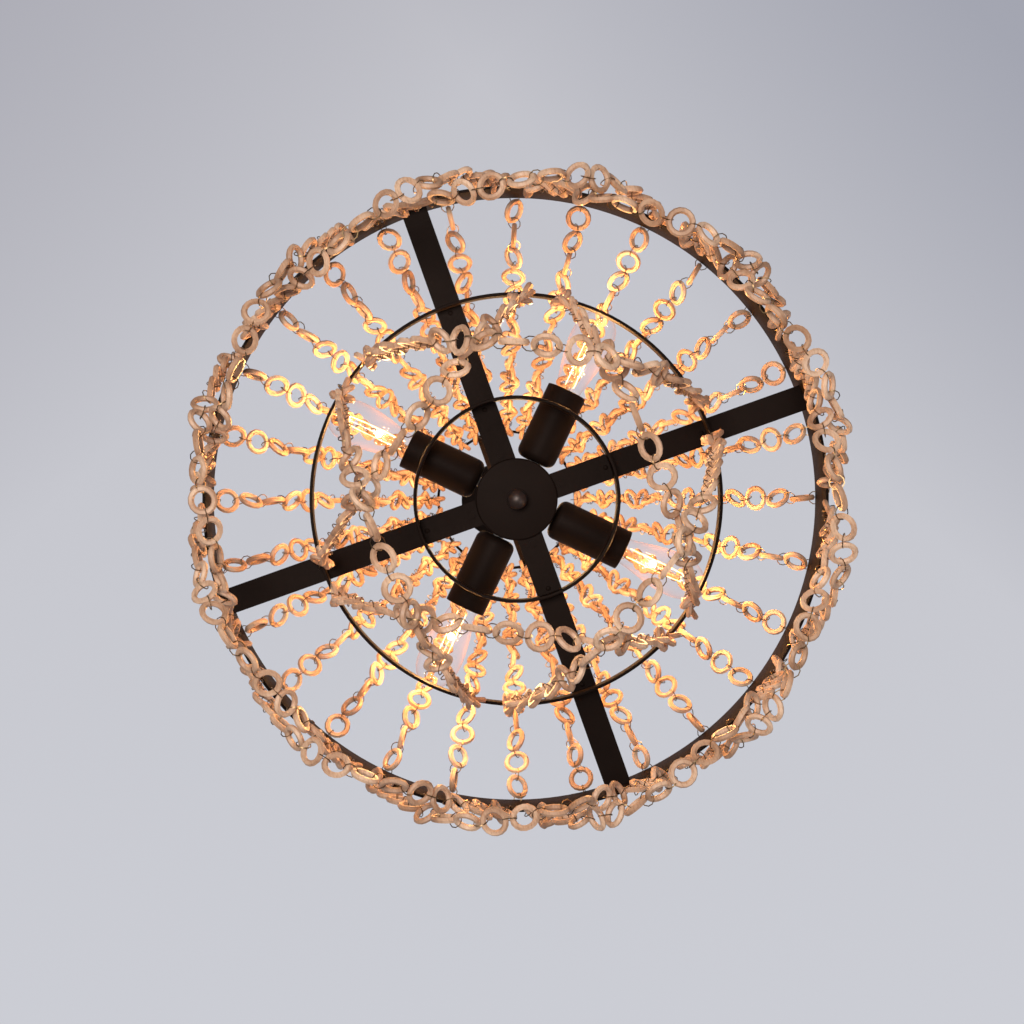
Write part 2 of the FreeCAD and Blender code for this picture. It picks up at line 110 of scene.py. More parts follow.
# %% [markdown]
# ## Three shared effects
#
# Paint, wood, brass and plastic look different, but three things are common to them: a grain of
# some size, a tone that follows that grain, and a gloss that follows it too. Each is a node group
# with named sockets, built once and placed in every finish with its own values. A group is better
# here than copied nodes, because one repair then mends every finish. `effect` makes the group and
# its sockets, and `ranged` adds the one node that all three use.

# %% A maker of node groups
def effect(name, output, kind, inputs):
    """A shader node group. Each input is (name, socket kind, value)."""
    group = bpy.data.node_groups.new(name, "ShaderNodeTree")
    new_socket = group.interface.new_socket
    for socket, socket_kind, value in inputs:
        made = new_socket(socket, in_out="INPUT", socket_type="NodeSocket" + socket_kind)
        made.default_value = value
    new_socket(output, in_out="OUTPUT", socket_type="NodeSocket" + kind)
    given = group.nodes.new("NodeGroupInput").outputs
    return group, given, group.nodes.new("NodeGroupOutput").inputs[0]


def ranged(tree, value, low, high):
    """A Map Range node that brings a value from between two ends to between 0 and 1."""
    node = tree.nodes.new("ShaderNodeMapRange")
    node.inputs["From Min"].default_value, node.inputs["From Max"].default_value = low, high
    tree.links.new(value, node.inputs["Value"])
    return node


print("helpers: effect, ranged")

# %% [markdown]
# ### Grain
#
# Every surface here is uneven at some scale: paint is pebbled, wood has fibres, brass has spots.
# A noise texture gives all of them. Its space is stretched first, because fibres and streaks are
# long one way, and the place comes in through a socket, so the material decides what it reads.

# %% Grain, a stretched noise
GRAIN, given, result = effect("grain", "Mask", "Float", (
    ("Place", "Vector", (0, 0, 0)), ("Stretch", "Vector", (1, 1, 1)), ("Scale", "Float", 100),
    ("Detail", "Float", 3), ("Crumble", "Float", 0.5)))
stretched = GRAIN.nodes.new("ShaderNodeVectorMath")
stretched.operation = "MULTIPLY"
speckle = GRAIN.nodes.new("ShaderNodeTexNoise")
for start, end in ((given["Place"], stretched.inputs[0]), (given["Stretch"], stretched.inputs[1]),
                   (stretched.outputs["Vector"], speckle.inputs["Vector"]),
                   (given["Scale"], speckle.inputs["Scale"]),
                   (given["Detail"], speckle.inputs["Detail"]),
                   (given["Crumble"], speckle.inputs["Roughness"]),
                   (speckle.outputs["Fac"], result)):
    GRAIN.links.new(start, end)
print("grain:", [socket.name for socket in given if socket.name])

# %% [markdown]
# ### Tone
#
# A colour ramp would do this, but a ramp's colours can't be sockets of a group. So the mask is
# brought to between 0 and 1, and two mixes run from dark to middle and from middle to light.

# %% Tone, three colours along a mask
TONE, given, result = effect("tone", "Colour", "Color", (
    ("Mask", "Float", 0), ("Start", "Float", 0.3), ("End", "Float", 0.7),
    ("Dark", "Color", (0, 0, 0, 1)), ("Middle", "Color", (0.5, 0.5, 0.5, 1)),
    ("Light", "Color", (1, 1, 1, 1))))
reach = TONE.nodes.new("ShaderNodeMapRange")
for socket, end in (("Mask", "Value"), ("Start", "From Min"), ("End", "From Max")):
    TONE.links.new(given[socket], reach.inputs[end])
colour = given["Dark"]
for low, high, socket in ((0, 0.5, "Middle"), (0.5, 1, "Light")):
    half = TONE.nodes.new("ShaderNodeMix")
    half.data_type = "RGBA"
    share = ranged(TONE, reach.outputs["Result"], low, high)
    TONE.links.new(share.outputs["Result"], half.inputs["Factor"])
    TONE.links.new(colour, half.inputs[6])
    TONE.links.new(given[socket], half.inputs[7])
    colour = half.outputs[2]
TONE.links.new(colour, result)
print("tone:", [socket.name for socket in given if socket.name])

# %% [markdown]
# ### Gloss
#
# Where the grain is worn smooth a surface shines more. The same mask therefore also sets the
# roughness, between the two ends that a finish names.

# %% Gloss, a roughness along a mask
GLOSS, given, result = effect("gloss", "Roughness", "Float", (
    ("Mask", "Float", 0), ("Smooth", "Float", 0.3), ("Rough", "Float", 0.6)))
spreading = ranged(GLOSS, given["Mask"], 0.3, 0.7)
GLOSS.links.new(given["Smooth"], spreading.inputs["To Min"])
GLOSS.links.new(given["Rough"], spreading.inputs["To Max"])
GLOSS.links.new(spreading.outputs["Result"], result)
print("gloss:", [socket.name for socket in given if socket.name])

# %% [markdown]
# ## A finish
#
# A finish is one material. This small class keeps its shader at hand, places an effect in it and
# joins sockets, so that each finish below reads like a recipe. All patterns read Object
# coordinates: the pieces stand at the origin, so the pattern stays in the wood when a joint moves.

# %% The finish helper
class Finish:
    """One material: place an effect with add, colour it with paint, roughen it with gloss."""

    def __init__(self, name):
        self.material = bpy.data.materials.new(name)
        self.material.use_nodes = True
        self.nodes = self.material.node_tree.nodes
        self.shader = self.nodes["Principled BSDF"].inputs
        self.place = self.nodes.new("ShaderNodeTexCoord").outputs["Object"]

    def feed(self, value, socket):
        if isinstance(value, bpy.types.NodeSocket):
            self.material.node_tree.links.new(value, socket)
        elif socket.type == "RGBA":
            socket.default_value = (*value, 1)
        else:
            socket.default_value = value

    def add(self, group, **values):
        node = self.nodes.new("ShaderNodeGroup")
        node.node_tree = group
        for socket, value in values.items():
            self.feed(value, node.inputs[socket])
        return node.outputs[0]

    def grain(self, scale, detail=3, **values):
        return self.add(GRAIN, Place=self.place, Scale=scale, Detail=detail, **values)

    def paint(self, mask, dark, light, middle=None, **reach):
        middle = middle or tuple((a + b) / 2 for a, b in zip(dark, light))
        colour = self.add(TONE, Mask=mask, Dark=dark, Middle=middle, Light=light, **reach)
        self.feed(colour, self.shader["Base Color"])
        return colour

    def gloss(self, mask, smooth, rough):
        self.feed(self.add(GLOSS, Mask=mask, Smooth=smooth, Rough=rough), self.shader["Roughness"])

    def relief(self, height, strength, distance):
        bump = self.nodes.new("ShaderNodeBump")
        bump.inputs["Strength"].default_value = strength
        bump.inputs["Distance"].default_value = distance
        self.feed(height, bump.inputs["Height"])
        self.feed(bump.outputs["Normal"], self.shader["Normal"])


print("a finish has", [name for name in vars(Finish) if name[0] != "_"])

# %% [markdown]
# ## Dark paint
#
# The bands, spokes, cups and canopy carry a brown-black satin paint. Sprayed paint is never flat:
# it is a little browner in places, and its skin is finely pebbled. A slow cloud makes the first
# and a fine grain the second, which also breaks up the gloss. The ball under the hub is polished
# more, so it takes the same recipe with other values.

# %% Paint on metal
def painted_metal(name, rough, shine):
    finish = Finish(name)
    skin = finish.grain(900, Crumble=0.6)
    finish.paint(finish.grain(14, 4), (0.0045, 0.0025, 0.0018), (0.0095, 0.0058, 0.0044),
                 (0.0065, 0.0037, 0.0027), Start=0.3, End=0.78)
    finish.gloss(skin, rough - 0.08, rough + 0.1)
    finish.shader["Specular IOR Level"].default_value = shine
    finish.shader["Specular Tint"].default_value = (1.0, 0.82, 0.74, 1)
    finish.relief(skin, 0.3, 0.0002)
    return finish.material


PAINT, KNOB = painted_metal("dark_paint", 0.55, 0.05), painted_metal("dark_knob", 0.44, 0.6)
print("paint:", PAINT.name, KNOB.name)

# %% [markdown]
# ## Bare metals
#
# The ceiling bracket is plated steel with faint streaks, the wire loops are old dull brass, and
# the bulb caps are bright brass. All three are one recipe, a metal whose tone and gloss follow one
# grain, so a single function serves them.

# %% Steel and brass
def bare_metal(name, dark, light, smooth, rough, scale, stretch=(1, 1, 1), relief=0.0):
    finish = Finish(name)
    streak = finish.grain(scale, 4, Stretch=stretch)
    finish.paint(streak, dark, light)
    finish.gloss(streak, smooth, rough)
    finish.shader["Metallic"].default_value = 1
    finish.relief(streak, relief, 0.0001)
    return finish.material


STEEL = bare_metal("plated_steel", (0.34, 0.33, 0.31), (0.52, 0.51, 0.48), 0.28, 0.45, scale=60,
                   stretch=(1, 1, 9), relief=0.15)
WIRE_BRASS = bare_metal("wire_brass", (0.10, 0.062, 0.03), (0.30, 0.20, 0.10), 0.3, 0.5, scale=120,
                        relief=0.1)
CAP_BRASS = bare_metal("cap_brass", (0.55, 0.40, 0.17), (0.78, 0.60, 0.30), 0.2, 0.38, scale=160,
                       relief=0.05)
print("metals:", STEEL.name, WIRE_BRASS.name, CAP_BRASS.name)

# %% [markdown]
# ## Ring wood
#
# The rings are turned from a pale, pinkish hardwood and only sanded. One ring differs from the
# next, so a slow tone runs through them all, and a stretched fine grain darkens it in streaks. The
# tiny pores are relief only. An image of wood would repeat from ring to ring, and this doesn't.

# %% Sanded wood
def ring_wood():
    finish = Finish("ring_wood")
    fibre = finish.grain(210, 5, Crumble=0.62, Stretch=(1, 3.2, 1))
    tone = finish.add(TONE, Mask=finish.grain(26, 1), Start=0.36, End=0.64, Dark=(0.33, 0.185, 0.108),
                      Middle=(0.45, 0.275, 0.175), Light=(0.58, 0.39, 0.265))
    streaks = finish.add(TONE, Mask=fibre, Start=0.32, End=0.68, Dark=(0.62, 0.50, 0.40),
                         Middle=(0.92, 0.88, 0.82), Light=(1, 1, 1))
    darkened = finish.nodes.new("ShaderNodeMix")
    darkened.data_type, darkened.blend_type = "RGBA", "MULTIPLY"
    darkened.inputs["Factor"].default_value = 0.75
    finish.feed(tone, darkened.inputs[6])
    finish.feed(streaks, darkened.inputs[7])
    finish.feed(darkened.outputs[2], finish.shader["Base Color"])
    finish.gloss(fibre, 0.42, 0.62)
    finish.shader["Specular IOR Level"].default_value = 0.45
    finish.relief(finish.grain(1500, 2), 0.2, 0.0002)
    return finish.material


WOOD = ring_wood()
print("wood:", WOOD.name)

# %% [markdown]
# ## Lampholder plastic
#
# The lampholder in each cup is moulded dark plastic, dull and slightly grainy.

# %% Moulded plastic
def moulded_plastic():
    finish = Finish("holder_plastic")
    skin = finish.grain(500)
    finish.paint(skin, (0.02, 0.016, 0.013), (0.035, 0.028, 0.024))
    finish.gloss(skin, 0.5, 0.7)
    finish.relief(skin, 0.2, 0.0001)
    return finish.material


PLASTIC = moulded_plastic()
print("plastic:", PLASTIC.name)

# %% [markdown]
# ## Bulb glass and glow
#
# Clear glass could bend the light with transmission, but a thin bulb hardly bends it and such
# glass renders slowly. So the glass is a nearly clear coat: its edge, where one looks through more
# of it, shows most, and Layer Weight finds that edge. The coat's colour is dark, because a pale
# one would be lit by the filament and turn the bulb white. The filament is plain emission. The bead
# at its middle is painted glare, a near-white glow for the bright core of the lit bulb.

# %% Glass, filament and painted glare bead
RIM_BLEND, RIM_POWER, RIM_ALPHA = 0.32, 2.2, 0.6


def bulb_glass(name, clearest, dark, light):
    finish = Finish(name)
    swirl = finish.grain(40, 2)
    finish.paint(swirl, dark, light)
    finish.gloss(swirl, 0.02, 0.05)
    rim = finish.nodes.new("ShaderNodeLayerWeight")
    rim.inputs["Blend"].default_value = RIM_BLEND
    edge = finish.nodes.new("ShaderNodeMath")
    edge.operation = "POWER"
    edge.inputs[1].default_value = RIM_POWER
    finish.feed(rim.outputs["Facing"], edge.inputs[0])
    opacity = ranged(finish.material.node_tree, edge.outputs["Value"], 0, 1)
    opacity.inputs["To Min"].default_value = clearest
    opacity.inputs["To Max"].default_value = RIM_ALPHA
    finish.feed(opacity.outputs["Result"], finish.shader["Alpha"])
    finish.shader["IOR"].default_value = 1.5
    finish.shader["Specular IOR Level"].default_value = 0.8
    return finish.material


def glowing(name, strength, dark, light):
    finish = Finish(name)
    colour = finish.paint(finish.grain(300, 2), dark, light)
    finish.feed(colour, finish.shader["Emission Color"])
    finish.shader["Emission Strength"].default_value = strength
    return finish.material


GLASS = bulb_glass("bulb_glass", 0.025, (0.060, 0.028, 0.014), (0.064, 0.030, 0.015))
STEM_GLASS = bulb_glass("stem_glass", 0.2, (0.16, 0.11, 0.07), (0.17, 0.117, 0.074))
FILAMENT = glowing("filament_glow", 5, (1.0, 0.62, 0.24), (1.0, 0.71, 0.28))
# The bead's strong near-white emission is painted glare for the bright core of a lit bulb.
GLARE_BEAD = glowing("bead_painted_glare", 30, (1.0, 0.82, 0.52), (1.0, 0.94, 0.60))
print("glass and glow:", GLASS.name, STEM_GLASS.name, FILAMENT.name, GLARE_BEAD.name)

# %% [markdown]
# ## Finishes on the CAD parts
#
# Spokes, stem lengths, nuts and screws keep their CAD shape, because flat bar and hexagons are
# already true there. Each takes the finish of the slot that its record names.

# %% Dress the CAD nodes
SLOT_FINISH = {"dark_metal": PAINT, "plated_steel": STEEL, "ring_wood": WOOD, "lampholder": PLASTIC,
               "bulb_cap": CAP_BRASS, "bulb_glass": GLASS}
for part in frame["record"]["subparts"]:
    target = frame["nodes"][part["node"]]
    target.data.materials.clear()
    target.data.materials.append(SLOT_FINISH[part["material_slot"]])

# %% [markdown]
# ## From a bmesh to a finished piece
#
# Every new piece ends the same way: smooth shading with crisp edges where the surface turns
# sharply, one finish, the body of the model that it rides on, and the CAD nodes whose place it
# takes.

# %% The piece helper
SHARP = math.radians(50)


def piece(maker, name, finish, body, *replaced):
    mesh = bpy.data.meshes.new(name)
    for face in maker.faces:
        face.smooth = True
    for edge in maker.edges:
        edge.smooth = len(edge.link_faces) == 2 and edge.calc_face_angle(0) < SHARP
    maker.to_mesh(mesh)
    maker.free()
    mesh.materials.append(finish)
    shape = bpy.data.objects.new(name, mesh)
    scene.collection.objects.link(shape)
    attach(shape, body)
    if replaced:
        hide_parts(*replaced)
    print("  %-24s %6d faces" % (name, len(mesh.polygons)))


print("edges over %.0f degrees stay crisp" % math.degrees(SHARP))

# %% [markdown]
# ## Turned shapes
#
# Hoops, cups, caps and bulbs are all round, so they are made as on a lathe: a few corners of the
# half section are joined by edges and spun round the axis. The seam and the poles are merged, and
# then the faces are turned outwards. `ease_rim` bevels one rim afterwards, which is quicker than
# drawing every small radius into the section, and keeps the sections readable.

# %% Lathe and eased rims
SAME_SPOT = 1e-6


def turned(corners, segments):
    """Spins (radius, height) corners; they form a loop unless they start on the axis."""
    maker = bmesh.new()
    points = [maker.verts.new((radius, 0, height)) for radius, height in corners]
    pairs = list(zip(points, points[1:])) + ([(points[-1], points[0])] if corners[0][0] else [])
    edges = [maker.edges.new(pair) for pair in pairs]
    bmesh.ops.spin(maker, geom=points + edges, cent=(0, 0, 0), axis=UP, angle=FULL_TURN,
                   steps=segments, use_merge=True)
    bmesh.ops.remove_doubles(maker, verts=maker.verts, dist=SAME_SPOT)
    bmesh.ops.recalc_face_normals(maker, faces=maker.faces)
    return maker


def ease_rim(maker, radius, height, width, steps=2):
    """Rounds the circular edge at a radius and height."""
    def on_rim(vert):
        off_radius, off_height = vert.co.xy.length - radius, vert.co.z - height
        return max(abs(off_radius), abs(off_height)) < 10 * SAME_SPOT
    rim = [edge for edge in maker.edges if all(on_rim(vert) for vert in edge.verts)]
    bmesh.ops.bevel(maker, geom=rim, offset=width, offset_type="OFFSET", affect="EDGES",
                    segments=steps, profile=0.5, material=-1, clamp_overlap=True)


def turned_band(inner, outer, foot, top, ease, segments):
    """A plain ring of rectangular section with all four rims eased."""
    maker = turned(((inner, foot), (outer, foot), (outer, top), (inner, top)), segments)
    for radius in (inner, outer):
        for height in (foot, top):
            ease_rim(maker, radius, height, ease)
    return maker


def moved(maker, place):
    bmesh.ops.transform(maker, matrix=place, verts=maker.verts)
    return maker


washer = turned_band(0.01, 0.02, 0, 0.002, 0.0005, 32)
print("a trial washer of 32 steps has", len(washer.faces), "faces")
washer.free()

# %% [markdown]
# ## Hoops
#
# The real hoops are rolled flat bar. The CAD hoops have sixty flat faces, which a close look
# shows, so these have many more. The bar's edges are slightly rounded where it was sheared and
# painted, and that rim catches the light of the lamps.

# %% Four hoops
HOOP_EASE = 0.0006
for name, radius, foot, top, segments in (
        ("outer_band", BAND_RADIUS, WHEEL - BAND_HEIGHT / 2, WHEEL + BAND_HEIGHT / 2, 192),
        ("middle_hoop", MIDDLE_RADIUS, SPOKE_UNDER - MIDDLE_HEIGHT, SPOKE_UNDER, 160),
        ("small_hoop", SMALL_RADIUS, SPOKE_UNDER - SMALL_HEIGHT, SPOKE_UNDER, 128),
        ("top_hoop", TOP_RADIUS, TOP_FOOT, TOP_FOOT + TOP_HEIGHT, 128)):
    piece(turned_band(radius - HOOP_WALL, radius, foot, top, HOOP_EASE, segments), name + "_smooth",
          PAINT, "fixture", name)

# %% [markdown]
# ## How a chain hangs
#
# A chain of rings hangs in a catenary between two hooks. It could be drawn by eye, but the length
# has to come out as a whole number of rings, so the curve is solved for a length. `hang` halves an
# interval until the catenary has it. A swag also bows sideways in plan, by `lean` for a plain bow
# and by `weave` for an S, and `path_of` corrects the length for that.

# %% Catenary between two hooks
SLACKNESS, HALVINGS = (1e-3, 12), 60
PATH_STEPS, FITTINGS = 600, 3


def length_of(path):
    return sum((after - before).length for before, after in zip(path, path[1:]))


def hang(start, end, length, lean, weave):
    """The chain as a function: it gives the point after a run along the chain."""
    flat = Vector((end.x - start.x, end.y - start.y, 0))
    span, climb = flat.length, end.z - start.z
    along = flat.normalized()
    outward = UP.cross(along)
    if outward.dot((start + end) / 2) < 0:
        outward = -outward
    aim = math.sqrt(length ** 2 - climb ** 2) / span
    low, high = SLACKNESS
    for halving in range(HALVINGS):
        mean = (low + high) / 2
        low, high = (mean, high) if math.sinh(mean) / mean < aim else (low, mean)
    scale = span / (2 * mean)
    lowest = span / 2 - scale * math.atanh(climb / length)

    def point(run):
        x = lowest + scale * math.asinh(run / scale - math.sinh(lowest / scale))
        z = scale * (math.cosh((x - lowest) / scale) - math.cosh(lowest / scale))
        part = 2 * x / span - 1
        side = lean * (1 - part * part) + weave * math.sin(math.pi * part)
        return start + along * x + outward * side + UP * z

    return point


def path_of(start, end, length, lean, weave):
    flat_length = length
    for fitting in range(FITTINGS):
        point = hang(start, end, flat_length, lean, weave)
        path = [point(flat_length * i / PATH_STEPS) for i in range(PATH_STEPS + 1)]
        flat_length *= length / length_of(path)
    return path


trial = path_of(polar(0.2, 0, 0), polar(0.2, 90, 0), 0.5, 0.006, 0)
print("a trial swag of 500 mm comes out at %.2f mm" % (1000 * length_of(trial)))

# %% [markdown]
# ## Where each ring sits
#
# The rings follow the path one pitch apart. Each can turn about the chain, as a ring on a wire
# does. `scattered` gives turns that never repeat in step, by the golden section. Where two swags
# cross, their rings lie nearly flat to pass one another, and `swag_turn` does that.

# %% Rings along a path
RING_PITCH, HOOK_GAP = 0.0259, 0.0003
CROSS_AT, CROSS_REACH, CROSS_TURN = 0.6, 0.16, 12


def ring_places(start, end, count, turn_of, lean=0, weave=0):
    """A matrix for each ring: X runs along the chain, Z is the ring's own axis."""
    path = path_of(start, end, count * RING_PITCH, lean, weave)
    places, run, due = [], 0, RING_PITCH / 2
    for before, after in zip(path, path[1:]):
        step = (after - before).length
        if run + step >= due and len(places) < count:
            along = (after - before).normalized()
            level = UP.cross(along).normalized()
            part = 2 * (len(places) + 0.5) / count - 1
            angle = math.radians(turn_of(len(places), part))
            side = along.cross(level) * math.cos(angle) + level * math.sin(angle)
            turn = Matrix((along, side, along.cross(side))).transposed().to_4x4()
            places.append(Matrix.Translation(before + along * (due - run)) @ turn)
            due += RING_PITCH
        run += step
    return places


def scattered(ring, chain):
    return 360 * math.fmod(0.618 * ring + 0.377 * chain, 1)


def swag_turn(swag):
    def turn_of(ring, part):
        if abs(abs(part) - CROSS_AT) < CROSS_REACH:
            return CROSS_TURN * math.sin(3 * ring + swag)
        return scattered(ring, swag + 0.5)
    return turn_of


print("the first four turns:", [round(scattered(ring, 0)) for ring in range(4)])

# %% [markdown]
# ## One wooden ring and one wire loop
#
# A ring is a small circle spun round an axis. It repeats nearly a thousand times, so it stays
# light: 16 steps of 6 faces look round at this size. The loops of bent wire that join ring to ring
# are thinner than a millimetre and need only 10 steps of 3.

# %% Patterns of the ring and the loop
RING_RADIUS, RING_THICK = 0.0127, 0.0054
LOOP_RADIUS, WIRE_RADIUS = 0.0064, 0.00055


def pattern(maker, name):
    mesh = bpy.data.meshes.new(name)
    maker.to_mesh(mesh)
    maker.free()
    print("  %-24s %6d faces" % (name, len(mesh.polygons)))
    return mesh


def spun_ring(middle, thin, steps, sides):
    maker = bmesh.new()
    bmesh.ops.create_circle(maker, segments=sides, radius=thin)
    upright = Matrix.Rotation(math.pi / 2, 4, "X") @ Matrix.Rotation(math.pi / sides, 4, "Z")
    moved(maker, Matrix.Translation((middle, 0, 0)) @ upright)
    bmesh.ops.spin(maker, geom=maker.verts[:] + maker.edges[:], cent=(0, 0, 0), axis=UP,
                   angle=FULL_TURN, steps=steps, use_merge=True)
    bmesh.ops.remove_doubles(maker, verts=maker.verts, dist=SAME_SPOT)
    bmesh.ops.recalc_face_normals(maker, faces=maker.faces)
    return maker


SECTION = RING_THICK / 2
RING = pattern(spun_ring(RING_RADIUS - SECTION, SECTION, 16, 6), "ring_pattern")
LOOP = pattern(spun_ring(LOOP_RADIUS, WIRE_RADIUS, 10, 3), "loop_pattern")

# %% [markdown]
# ## Stringing a chain
#
# All rings of one CAD node become one piece and their loops another: separate objects for each
# ring would be slow and give nothing, because the chains hang still. A hand-strung ring never sits
# quite true, so each is tipped and shifted a little by seeded chance. A loop lies between two
# neighbours, in the plane halfway between theirs.

# %% Rings, loops and small errors
TIP, SWING, SHIFT = 0.12, 0.08, 0.0006
dice = random.Random(11)


def copies(mesh, places):
    maker = bmesh.new()
    for place in places:
        known = len(maker.verts)
        maker.from_mesh(mesh)
        maker.verts.ensure_lookup_table()
        bmesh.ops.transform(maker, matrix=place, verts=maker.verts[known:])
    return maker


def untrue(place):
    tipped = Matrix.Rotation(dice.uniform(-TIP, TIP), 4, "Y")
    swung = Matrix.Rotation(dice.uniform(-SWING, SWING), 4, "Z")
    return place @ Matrix.Translation((0, 0, dice.uniform(-SHIFT, SHIFT))) @ tipped @ swung


def loop_between(one, two):
    along = (two.translation - one.translation).normalized()
    axis_one, axis_two = one.col[2].to_3d(), two.col[2].to_3d()
    if axis_one.dot(axis_two) < 0:
        axis_two = -axis_two
    across = axis_one + axis_two
    across = (across - along * across.dot(along)).normalized()
    turn = Matrix((along, across, along.cross(across))).transposed().to_4x4()
    return Matrix.Translation((one.translation + two.translation) / 2) @ turn


def string_up(name, chains):
    """The rings and wire loops that take the place of one CAD node of chains."""
    loops = []
    for rings in chains:
        step = Matrix.Translation((RING_PITCH, 0, 0))
        reach = [rings[0] @ step.inverted()] + rings + [rings[-1] @ step]
        loops += [loop_between(one, two) for one, two in zip(reach, reach[1:])]
    rings = [untrue(place) for rings in chains for place in rings]
    piece(copies(RING, rings), name + "_rings", WOOD, "fixture", name)
    piece(copies(LOOP, loops), name + "_loops", WIRE_BRASS, "fixture")


print("rings tip up to %.0f degrees" % math.degrees(TIP))

# %% [markdown]
# ## Strands above the wheel
#
# Twenty-eight strands run from the outer band up to the small top hoop and give the light its
# bell-like outline. Each has twenty rings. They hang slack enough to curve inwards on the way up.

# %% Twenty-eight strands
STRANDS, PER_STRAND, STRAND_RISE = 28, 20, 0.021
for quarter in range(4):
    chains = []
    for strand in range(quarter * STRANDS // 4, (quarter + 1) * STRANDS // 4):
        angle = (strand + 0.5) * 360 / STRANDS
        foot = polar(BAND_RADIUS - HOOP_WALL - HOOK_GAP, angle, WHEEL + STRAND_RISE)
        head = polar(TOP_RADIUS - HOOP_WALL / 2, angle, TOP_FOOT - HOOK_GAP)
        chains.append(ring_places(foot, head, PER_STRAND,
                                  lambda ring, part: scattered(ring, strand)))
    string_up("strands_%d" % (quarter + 1), chains)

# %% [markdown]
# ## Swags under the middle hoop
#
# Six deep swags hang from the middle hoop. Each reaches over its neighbour to the next hook but
# one, so they cross. Straight chains would run through one another there. So every second swag is
# two rings longer, and the two families bow apart in plan.

# %% Six middle swags
def swag_hooks(swag, first, step, apart, radius, level):
    """The two hooks of a swag: its own and the next but one, each moved in a little."""
    return (polar(radius, first + step * swag + apart, level),
            polar(radius, first + step * (swag + 2) - apart, level))


MIDDLE_SWAGS, MIDDLE_FIRST, MIDDLE_APART, MIDDLE_BOW = 6, 27, 4.5, 0.006
middle_foot = SPOKE_UNDER - MIDDLE_HEIGHT - HOOK_GAP
for family, (count, lean) in enumerate(((25, -MIDDLE_BOW), (27, MIDDLE_BOW))):
    chains = []
    for swag in range(family, MIDDLE_SWAGS, 2):
        start, end = swag_hooks(swag, MIDDLE_FIRST, 360 / MIDDLE_SWAGS, MIDDLE_APART,
                                MIDDLE_RADIUS - HOOP_WALL / 2, middle_foot)
        chains.append(ring_places(start, end, count, swag_turn(swag), lean=lean))
    string_up("middle_swags_%d" % (family + 1), chains)

# %% [markdown]
# ## Swags under the outer band
#
# Twelve shorter swags hang from the outer band and cross in the same way. They are all alike, so
# each weaves in plan, outwards in one half and inwards in the other, and passes its neighbours.

# %% Twelve outer swags
OUTER_SWAGS, PER_OUTER_SWAG, OUTER_FIRST, OUTER_APART = 12, 19, 19.3, 2
OUTER_INSET, OUTER_WEAVE = 0.0005, 0.008
band_foot = WHEEL - BAND_HEIGHT / 2 - HOOK_GAP
for quarter in range(4):
    chains = []
    for swag in range(quarter * OUTER_SWAGS // 4, (quarter + 1) * OUTER_SWAGS // 4):
        start, end = swag_hooks(swag, OUTER_FIRST, 360 / OUTER_SWAGS, OUTER_APART,
                                BAND_RADIUS - OUTER_INSET, band_foot)
        chains.append(ring_places(start, end, PER_OUTER_SWAG, swag_turn(swag), weave=OUTER_WEAVE))
    string_up("outer_swags_%d" % (quarter + 1), chains)

# %% [markdown]
# ## Lamp cup
#
# Each lamp lies on its side: a spun metal cup that hides the lampholder, open towards the rim of
# the wheel. `lying` turns a shape whose axis is Z to a lamp's place. The cup's back is drawn to a
# large soft corner, made by one wide bevel, and its mouth is turned over.

# %% A cup
LAMP_LEVEL, ARM_HOLE = WHEEL + 0.024, 0.006
CUP_BACK, CUP_LENGTH, CUP_RADIUS, CUP_WALL = 0.041, 0.077, 0.020, 0.0015
CUP_CORNER, CUP_ROLL = 0.008, 0.0005
CUP_MOUTH = CUP_BACK + CUP_LENGTH


def lying(angle):
    return (Matrix.Translation((0, 0, LAMP_LEVEL)) @ Matrix.Rotation(math.radians(angle), 4, "Z")
            @ Matrix.Rotation(math.pi / 2, 4, "Y"))


def cup():
    inside = CUP_RADIUS - CUP_WALL
    maker = turned(((ARM_HOLE, CUP_BACK), (CUP_RADIUS, CUP_BACK), (CUP_RADIUS, CUP_MOUTH),
                    (inside, CUP_MOUTH), (inside, CUP_BACK + 0.010), (0.0145, CUP_BACK + 0.003),
                    (ARM_HOLE, CUP_BACK + CUP_WALL)), 48)
    ease_rim(maker, CUP_RADIUS, CUP_BACK, CUP_CORNER, 6)
    ease_rim(maker, CUP_RADIUS, CUP_MOUTH, CUP_ROLL)
    ease_rim(maker, inside, CUP_MOUTH, CUP_ROLL)
    return maker


print("cup: %.0f mm long, %.0f mm across" % (1000 * CUP_LENGTH, 2000 * CUP_RADIUS))

# %% [markdown]
# ## Bulb
#
# The bulb is a clear pear-shaped envelope on a screw cap, with a glass stem inside that carries
# the wires. The envelope is a list of radii at parts of its length, read off the usual outline of
# such bulbs. The cap's rolled thread is a wavy section: a true helix would cost far more and shows
# no difference inside the cup. The thread is a little narrower than the lampholder's bore, and the
# cap stops just short of its seat, so nothing rubs when the bulb is drawn out.

